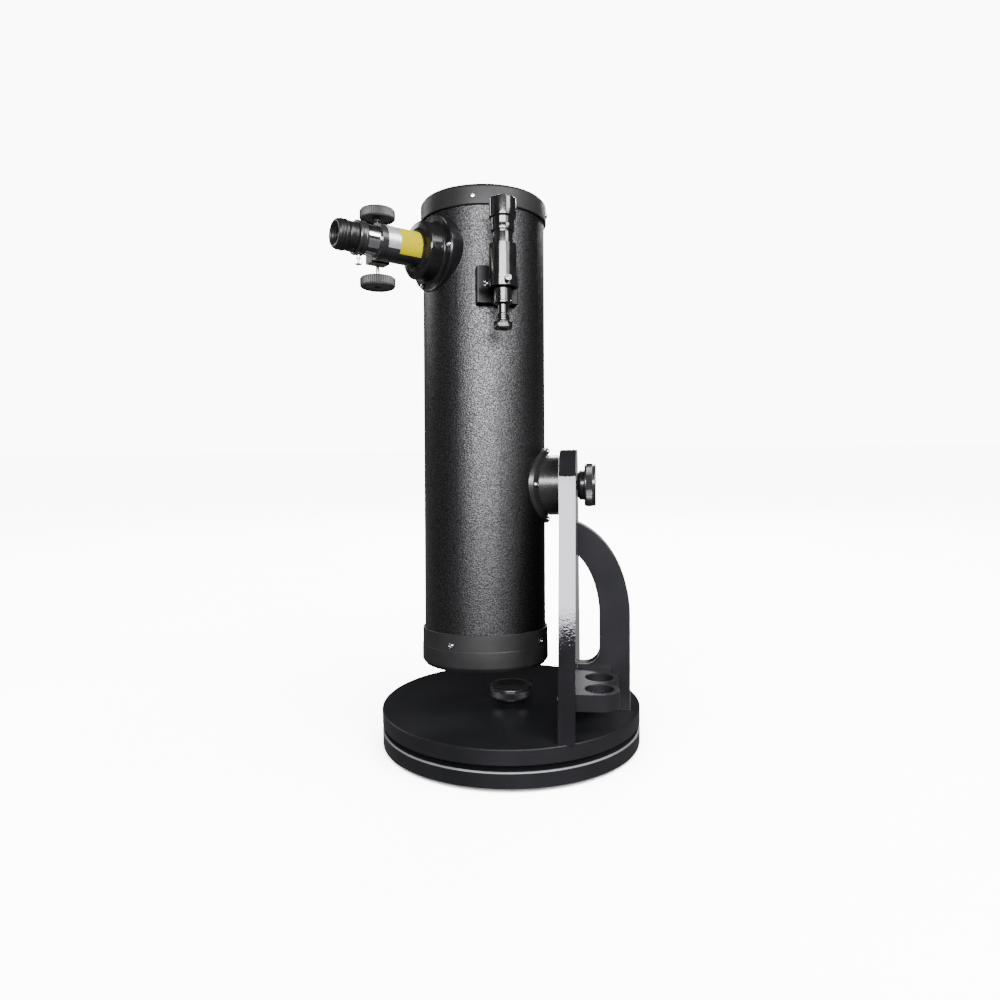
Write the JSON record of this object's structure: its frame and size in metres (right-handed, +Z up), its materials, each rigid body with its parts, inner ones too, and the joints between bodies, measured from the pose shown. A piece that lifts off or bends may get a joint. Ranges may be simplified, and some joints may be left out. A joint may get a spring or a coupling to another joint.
{
  "type": "dobsonian telescope",
  "caption": "Tabletop reflector telescope on a one-armed turning base, with rack focuser, finder scope, carry strut and eyepiece rack.",
  "frame": {"origin": "on the azimuth axis, on the plane of the table", "axes": "+Z up along the azimuth axis, +X from the tube towards the side arm, the focuser and finder face -Y"},
  "size_m": [0.3653, 0.34, 0.7067],
  "materials": {
    "black_board": "black lacquered board with fine orange peel",
    "rubber_black": "matt black rubber",
    "zinc_steel": "zinc plated",
    "screw_steel": "bright plated",
    "pad_white": "waxy low-friction plastic",
    "bush_nylon": "natural nylon",
    "rub_laminate": "textured laminate",
    "knob_black": "glossy moulded plastic",
    "tube_paint": "black hammered paint",
    "ring_black": "satin black",
    "cast_black": "satin black on die-cast metal",
    "gloss_black": "glossy black",
    "cell_grey": "cast aluminium",
    "cork": "fine cork",
    "mirror_glass": "aluminised first surface",
    "spring_steel": "bright spring wire",
    "yellow_film": "plain yellow film",
    "silver_film": "plain silver film",
    "draw_chrome": "polished chrome",
    "rack_brass": "machined brass",
    "knob_grey": "ribbed grey rubber",
    "finder_black": "gloss black anodised",
    "lens_glass": "coated glass"
  },
  "bodies": {
    "ground": {"non_slip_ring": "rubber_black", "ground_board": "black_board", "azimuth_bolt": "zinc_steel", "azimuth_washer": "zinc_steel", "bearing_pads": "pad_white"},
    "turntable": {"rub_ring": "rub_laminate", "azimuth_bush": "bush_nylon", "turntable_board": "black_board", "board_screws": "zinc_steel", "side_arm": "black_board", "carry_strut": "black_board", "eyepiece_rack": "black_board", "rack_screws": "screw_steel", "altitude_bush": "bush_nylon"},
    "azimuth_lock": {"azimuth_knob": "knob_black"},
    "optical_tube": {"tube": "tube_paint", "front_ring": "ring_black", "rear_ring": "ring_black", "ring_screws": "screw_steel", "altitude_flange": "cast_black", "altitude_flange_screws": "screw_steel", "altitude_washer": "pad_white", "altitude_stud": "zinc_steel", "mirror_cell": "cell_grey", "mirror_pads": "cork", "primary_mirror": "mirror_glass", "mirror_clips": "ring_black", "collimation_screws": "screw_steel", "collimation_springs": "spring_steel", "spider": "ring_black", "secondary_holder": "ring_black", "secondary_mirror": "mirror_glass", "secondary_screws": "screw_steel", "focuser_flange": "gloss_black", "focuser_flange_screws": "screw_steel", "focuser_body": "cast_black", "yellow_band": "yellow_film", "silver_band": "silver_film", "pinion_cover": "cast_black", "finder_shoe": "finder_black", "shoe_mount_screws": "screw_steel"},
    "altitude_lock": {"altitude_knob": "knob_black"},
    "focuser_drawtube": {"drawtube": "draw_chrome", "drawtube_collar": "cast_black", "focus_rack": "rack_brass"},
    "focus_pinion": {"pinion_shaft": "rack_brass", "focus_knobs": "knob_grey"},
    "eyepiece_lock": {"eyepiece_screw": "screw_steel"},
    "eyepiece": {"eyepiece_barrel": "draw_chrome", "eyepiece_body": "gloss_black", "eyecup": "rubber_black"},
    "finder": {"finder_bracket": "finder_black", "finder_o_ring": "rubber_black", "finder_tube": "finder_black", "finder_lens": "lens_glass"},
    "shoe_lock": {"shoe_screw": "screw_steel"},
    "adjuster_1": {"finder_adjuster_1": "screw_steel"},
    "adjuster_2": {"finder_adjuster_2": "screw_steel"},
    "adjuster_3": {"finder_adjuster_3": "screw_steel"},
    "finder_focus": {"finder_eyepiece": "finder_black"}
  },
  "joints": [
    {"name": "azimuth_turn", "type": "hinge", "parent": "ground", "child": "turntable", "pos_m": [0, 0, 0.03], "axis": [0, 0, 1], "continuous": true},
    {"name": "azimuth_knob_turn", "type": "hinge", "parent": "ground", "child": "azimuth_lock", "pos_m": [0, 0, 0.06], "axis": [0, 0, 1], "range_deg": [-180, 180]},
    {"name": "altitude_tilt", "type": "hinge", "parent": "turntable", "child": "optical_tube", "pos_m": [-0.0312, 0, 0.3374], "axis": [-1, 0, 0], "range_deg": [-3.6, 86.4]},
    {"name": "altitude_knob_turn", "type": "hinge", "parent": "optical_tube", "child": "altitude_lock", "pos_m": [0.1, 0, 0.3374], "axis": [1, 0, 0], "range_deg": [-180, 180]},
    {"name": "focus_slide", "type": "slide", "parent": "optical_tube", "child": "focuser_drawtube", "axis": [-0.7314, -0.6807, 0.0428], "range_m": [-0.013, 0.035]},
    {"name": "focus_knob_turn", "type": "hinge", "parent": "optical_tube", "child": "focus_pinion", "pos_m": [-0.15162, -0.06064, 0.63279], "axis": [0, -0.0628, -0.998], "range_deg": [-156, 418]},
    {"name": "eyepiece_screw_turn", "type": "hinge", "parent": "focuser_drawtube", "child": "eyepiece_lock", "pos_m": [-0.16248, -0.10516, 0.61555], "axis": [0, -0.0628, -0.998], "range_deg": [-180, 180]},
    {"name": "eyepiece_pull", "type": "slide", "parent": "focuser_drawtube", "child": "eyepiece", "axis": [-0.7314, -0.6807, 0.0428], "range_m": [0, 0.03]},
    {"name": "finder_slide", "type": "slide", "parent": "optical_tube", "child": "finder", "axis": [0, 0.0628, 0.998], "range_m": [0, 0.03]},
    {"name": "shoe_screw_turn", "type": "hinge", "parent": "optical_tube", "child": "shoe_lock", "pos_m": [-0.02162, -0.074, 0.58253], "axis": [-0.9455, -0.3249, 0.0204], "range_deg": [-180, 180]},
    {"name": "adjuster_1_turn", "type": "hinge", "parent": "finder", "child": "adjuster_1", "pos_m": [0.01425, -0.11313, 0.57998], "axis": [0.3907, -0.9187, 0.0578], "range_deg": [-180, 180]},
    {"name": "adjuster_2_turn", "type": "hinge", "parent": "finder", "child": "adjuster_2", "pos_m": [0.01805, -0.08225, 0.57804], "axis": [0.6018, 0.7971, -0.0501], "range_deg": [-180, 180]},
    {"name": "adjuster_3_turn", "type": "hinge", "parent": "finder", "child": "adjuster_3", "pos_m": [-0.01065, -0.09441, 0.5788], "axis": [-0.9925, 0.1216, -0.0077], "range_deg": [-180, 180]},
    {"name": "finder_focus_slide", "type": "slide", "parent": "finder", "child": "finder_focus", "axis": [0, -0.0628, -0.998], "range_m": [-0.003, 0.006]}
  ],
  "couplings": [
    {"joint": "focus_knob_turn", "follows": "focus_slide", "rad_per_m": 208.33}
  ]
}
